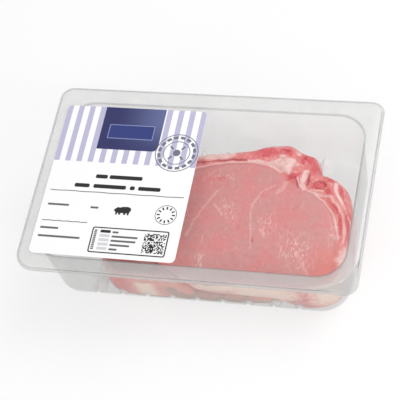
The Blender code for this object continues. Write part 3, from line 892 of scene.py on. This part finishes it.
def build_chop(curve, centre, top_of, base_of, top_shapes, front_shapes, seed, rough_of):
    """Fine closed slab between two height functions, with the fields its material reads."""
    bm = bmesh.new()
    names = SHAPES + ("eye", "front", "warm")
    layers = {name: bm.verts.layers.float.new(name) for name in names}
    above = {name: Chart(*PLAN, 0.7, nearness, top_shapes.get(name, ())) for name in SHAPES}
    ahead = {name: Chart((-78.0, -58.0), (112.0, 0.0), 0.7, nearness,
                         front_shapes.get(name, ())) for name in SHAPES}
    count = len(curve)
    bends = [1.0 - math.cos(math.pi / 2 * i / 9) for i in range(1, 10)]

    def vertex(x, y, height_of, roundness, upper):
        top, base = top_of(x, y), base_of(x, y)
        middle = 0.5 * (top + base)
        z = middle + (height_of(x, y) - middle) * roundness
        relief = 0.0
        if upper:
            relief = rough_of(x, y) * (0.55 * lumps(x, y, z, 7.0, seed) + 0.3 * lumps(x, y, z, 3.0, seed))
            relief += 0.12 * lumps(x, y, z, 11.0, seed + 5) + 0.04 * lumps(x, y, z, 1.6, seed + 9)
        v = bm.verts.new((x * MM, y * MM, (z + relief * roundness) * MM))
        if y > -50.0:
            v.co.y += 0.5 * lumps(x, y, z, 14.0, seed + 3) * (1.0 - roundness) * MM
        ahead_part = ease((-y - 34.0) / 10.0)
        front = ease((top - min(4.5, 0.2 * (top - base)) - z) / 3.5) * ahead_part
        fx = x + 0.8 * lumps(x, y, z, 6.0, seed + 1)
        fy = y + 0.8 * lumps(x, y, z, 6.0, seed + 2)
        fz = z - FLANGE_TOP + 0.8 * lumps(x, y, z, 6.0, seed + 4)
        for name in SHAPES:
            a = above[name](fx, fy)
            b = ahead[name](fx, fz) if front > 0 else a
            v[layers[name]] = a + (b - a) * front
        # painted shade: grey-brown along the foot of the front, where the meat lies in shade by the tray's
        # base, higher towards the left
        tall = 2.5 + 5.0 * ease((58.0 - x) / 26.0)
        aside = max(abs(x - 24.0) - 38.0, 0.0) / 8.0
        low = 0.3 + 0.7 * max(z - foot(x, y), 0.0) / tall + aside
        low += (1.0 - ease((-y - 51.0) / 5.0)) * 2.0
        v[layers["shade"]] = min(v[layers["shade"]], low)
        v[layers["eye"]] = EYE(fx, fy) if top_shapes is TOP else 5.0
        v[layers["front"]] = front
        v[layers["warm"]] = ease((x - 66.0) / 28.0) * ease((-y - 22.0) / 26.0)
        return v

    def make_ring(inset_of, height_of, roundness, upper):
        ring = []
        for x, y in curve:
            k = inset_of(math.dist((x, y), centre))
            ring.append(vertex(centre[0] + (x - centre[0]) * k, centre[1] + (y - centre[1]) * k,
                               height_of, roundness, upper))
        return ring

    rim = make_ring(lambda reach: 1.0, top_of, 0.0, False)
    for height_of, upper, inner, soft in ((top_of, True, 60, EDGE_SOFT), (base_of, False, 34, FOOT_SOFT)):
        chain = [rim]
        for s in bends:
            roundness = (1.0 - (1.0 - s) ** 2.4) ** (1 / 2.4)
            chain.append(make_ring(lambda reach, s=s: 1.0 - s * soft / reach, height_of, roundness, upper))
        for i in range(1, inner):
            s = 1.0 - i / inner
            chain.append(make_ring(lambda reach, s=s: s * (1.0 - soft / reach), height_of, 1.0, upper))
        middle = vertex(centre[0], centre[1], height_of, 1.0, upper)
        for outer, inner_ring in zip(chain, chain[1:]):
            for i in range(count):
                j = (i + 1) % count
                bm.faces.new((outer[i], outer[j], inner_ring[j], inner_ring[i]))
        last = chain[-1]
        for i in range(count):
            bm.faces.new((last[i], last[(i + 1) % count], middle))
    bmesh.ops.recalc_face_normals(bm, faces=bm.faces)
    return bm


def meat_material(name, lean, lean_dull, lean_deep, rib, rib_pale, deep, fat):
    s = Shader(name)
    place = s.place()
    wide = s.noise(place, 0.045, 3.0, 0.6)
    mid = s.noise(place, 0.3, 3.0, 0.65)
    fine = s.noise(place, 1.3, 3.0, 0.65)
    jitter = s.math("SUBTRACT", mid, 0.5)
    tiny = s.math("SUBTRACT", fine, 0.5)

    def inside(field, blur=0.25, shake=1.0):
        value = s.math("MULTIPLY_ADD", jitter, shake, s.field(field))
        value = s.math("MULTIPLY_ADD", tiny, 0.9 * shake, value)
        return s.math("SUBTRACT", 1.0, s.step(value, 1.0 - blur, 1.0 + blur))

    def fibres(turn, low, high, size=0.55):
        return s.step(s.noise(s.place((size, size * 0.3, size), (0.0, 0.0, turn)), 1.0, 2.0, 0.5, 0.9), low,
                      high)

    # lean: soft blotches, then short pale fibres
    eye = s.math("SUBTRACT", 1.0, s.step(s.math("MULTIPLY_ADD", jitter, 1.2, s.field("eye")), -0.6, 0.8))
    colour = s.mix(s.step(wide, 0.36, 0.62), lean, lean_dull)
    colour = s.mix(s.math("MULTIPLY", s.step(mid, 0.48, 0.7), 0.45), colour, lean_deep)
    colour = s.mix(s.math("MULTIPLY", s.step(fine, 0.5, 0.75), 0.3), colour, srgb(232, 170, 166))
    colour = s.mix(s.math("MULTIPLY", fibres(0.9, 0.6, 0.72, 0.75), 0.4), colour, srgb(233, 176, 171))
    colour = s.mix(s.math("MULTIPLY", fibres(-0.5, 0.62, 0.72, 0.6), 0.35), colour, srgb(236, 184, 179))
    colour = s.mix(s.math("MULTIPLY", s.field("warm"), 0.55), colour, srgb(228, 124, 112))
    # between the ribs: brighter, patchier red
    side = s.mix(s.step(fine, 0.38, 0.62), rib, rib_pale)
    side = s.mix(s.math("MULTIPLY", s.step(mid, 0.5, 0.68), 0.6), side, srgb(236, 176, 170))
    bright = s.mix(s.step(fine, 0.42, 0.62), deep, rib)
    side = s.mix(s.math("MULTIPLY", inside("deep", 0.5, 1.1), 0.88), side, bright)
    colour = s.mix(eye, side, colour)
    spots = s.math("MULTIPLY", inside("deep", 0.5, 0.8), eye)
    colour = s.mix(s.math("MULTIPLY", spots, 0.6), colour, deep)
    fat_mix = s.mix(s.step(fine, 0.4, 0.65), fat, srgb(236, 192, 187))
    fat_mix = s.mix(s.math("MULTIPLY", s.step(mid, 0.5, 0.64), 0.6), fat_mix, srgb(230, 162, 159))
    fat_mix = s.mix(s.math("MULTIPLY", s.field("front"), 0.8), fat_mix, srgb(240, 221, 204))
    colour = s.mix(s.math("MULTIPLY", inside("fat", 0.4, 1.3), 0.92), colour, fat_mix)
    colour = s.mix(s.math("MULTIPLY", inside("line", 0.6, 1.1), 0.75), colour, srgb(240, 204, 198))
    colour = s.mix(s.math("MULTIPLY", inside("dark", 0.6, 0.9), 0.75), colour, srgb(158, 42, 54))
    # painted shade: grey-brown where the shade field lies
    colour = s.mix(s.math("MULTIPLY", inside("shade", 0.3, 0.6), 0.85), colour, srgb(172, 150, 139))
    thread = s.math("MULTIPLY", inside("thread", 0.7, 1.4), s.step(fine, 0.3, 0.55))
    colour = s.mix(s.math("MULTIPLY", thread, 0.42), colour, srgb(240, 200, 194))
    # painted highlights: pale flecks standing in for glints of light on the wet, ruffled surface, where the
    # gleam field lies
    near = s.math("SUBTRACT", 1.0, s.step(s.field("gleam"), 0.2, 1.25))
    painted_glint = s.math("MAXIMUM", fibres(0.9, 0.56, 0.64, 0.9), fibres(-0.6, 0.57, 0.65, 0.8))
    colour = s.mix(s.math("MULTIPLY", s.math("MULTIPLY", painted_glint, near), 0.6), colour, srgb(246, 214, 208))
    relief = s.math("ADD", s.math("MULTIPLY", mid, 0.5), s.math("MULTIPLY", fine, 0.5))
    rough = s.math("MULTIPLY_ADD", fine, 0.36, 0.22)
    body = s.node("ShaderNodeBsdfPrincipled", {
        "Base Color": colour, "Roughness": rough, "IOR": 1.4, "Subsurface Weight": 0.12,
        "Subsurface Radius": (1.0, 0.35, 0.25), "Subsurface Scale": 0.002,
        "Normal": s.bump(relief, 0.0004, 0.6)})
    return s.finish(body.outputs[0])


upper_mat = meat_material("pork_upper_look", srgb(217, 138, 137), srgb(207, 146, 143), srgb(206, 120, 122),
                          srgb(220, 112, 114), srgb(226, 144, 141), srgb(206, 60, 76), srgb(240, 212, 205))
lower_mat = meat_material("pork_lower_look", srgb(212, 144, 140), srgb(204, 152, 145), srgb(206, 128, 126),
                          srgb(215, 148, 141), srgb(224, 168, 158), srgb(212, 92, 98), srgb(238, 216, 200))


def bone_rough(x, y):
    return 0.35 + 1.6 * ease((EYE(x, y) - 1.0) / 5.0)


upper = add_piece("chop_upper_meat", build_chop(smooth_outline(UPPER_OUTLINE, 400), UPPER_CENTRE, upper_top,
                                                upper_base,
                                                TOP, FRONT, 3.0, bone_rough), (upper_mat,))
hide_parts("chop_upper")
lower = add_piece("chop_lower_meat", build_chop(smooth_outline(LOWER_OUTLINE, 300), LOWER_CENTRE, lower_top,
                                                foot, LOWER_TOP, LOWER_FRONT, 11.0,
                                                lambda x, y: 0.6), (lower_mat,))
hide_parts("chop_lower")


# ---- floor, light and camera ---------------------------------------------------------------------
FLOOR_GLOW = 0.62             # keeps the floor white under the pack's soft shadow
FLOOR_GAP = 0.1


def floor_material():
    s = Shader("floor_white")
    path = s.node("ShaderNodeLightPath")
    seen = s.math("MAXIMUM", path.outputs["Is Camera Ray"], path.outputs["Is Glossy Ray"])
    seen = s.math("MAXIMUM", seen, path.outputs["Is Transmission Ray"])
    lit = s.node("ShaderNodeBsdfDiffuse", {"Color": (0.93, 0.93, 0.93, 1.0)})
    glow = s.node("ShaderNodeEmission", {"Color": (1.0, 1.0, 1.0, 1.0), "Strength": 1.0})
    share = s.math("MULTIPLY", seen, FLOOR_GLOW)
    both = s.node("ShaderNodeMixShader", {0: share, 1: lit.outputs[0], 2: glow.outputs[0]})
    return s.finish(both.outputs[0])


bpy.ops.mesh.primitive_plane_add(size=4.0, location=(0.0, 0.0, -FLOOR_GAP * MM))
floor = bpy.context.object
floor.name = "floor"
floor.data.materials.append(floor_material())

SKY = 0.78                    # strength of the even studio light
world = bpy.data.worlds.new("studio")
bpy.context.scene.world = world
world.use_nodes = True
tree = world.node_tree
tree.nodes.clear()
path = tree.nodes.new("ShaderNodeLightPath")
soft = tree.nodes.new("ShaderNodeBackground")
soft.inputs["Strength"].default_value = SKY
white = tree.nodes.new("ShaderNodeBackground")
white.inputs["Strength"].default_value = 1.0
pick = tree.nodes.new("ShaderNodeMixShader")
end = tree.nodes.new("ShaderNodeOutputWorld")
tree.links.new(path.outputs["Is Camera Ray"], pick.inputs[0])
tree.links.new(soft.outputs[0], pick.inputs[1])
tree.links.new(white.outputs[0], pick.inputs[2])
tree.links.new(pick.outputs[0], end.inputs[0])


def soft_lamp(name, at, aim, size, power):
    data = bpy.data.lights.new(name, "AREA")
    data.shape = "SQUARE"
    data.size = size
    data.energy = power
    lamp = bpy.data.objects.new(name, data)
    bpy.context.scene.collection.objects.link(lamp)
    lamp.location = at
    lamp.rotation_mode = "QUATERNION"
    lamp.rotation_quaternion = (Vector(aim) - Vector(at)).to_track_quat("-Z", "Y")
    return lamp


# name, place, aim, side of the square in metres, watts
for lamp in (("key", (0.55, 0.75, 1.1), (0.0, 0.0, 0.02), 0.9, 8.0),
             ("front", (-0.3, -1.1, 0.55), (0.0, 0.0, 0.02), 0.9, 4.0),
             ("glint", (0.80, -0.52, 0.60), (0.08, -0.05, 0.05), 0.12, 2.4)):
    soft_lamp(*lamp)

CAMERA_AT = Vector((0.2506, -0.5026, tray_high.z + 0.8186))
CAMERA_AIM = Vector((0.00235, -0.0126, tray_high.z))
CAMERA_RIGHT = Vector((0.96567, 0.18555, -0.1818))      # the picture's right, slightly rolled
CAMERA_LENS = 134.0
camera_data = bpy.data.cameras.new("camera")
camera_data.sensor_width = 36.0
camera_data.lens = CAMERA_LENS
camera = bpy.data.objects.new("camera", camera_data)
bpy.context.scene.collection.objects.link(camera)
right = CAMERA_RIGHT.normalized()
back = (CAMERA_AT - CAMERA_AIM).normalized()
up = back.cross(right).normalized()
right = up.cross(back)
turn = Matrix((right, up, back)).transposed().to_4x4()
camera.matrix_world = Matrix.Translation(CAMERA_AT) @ turn
bpy.context.scene.camera = camera
bpy.context.scene.view_settings.view_transform = "Standard"
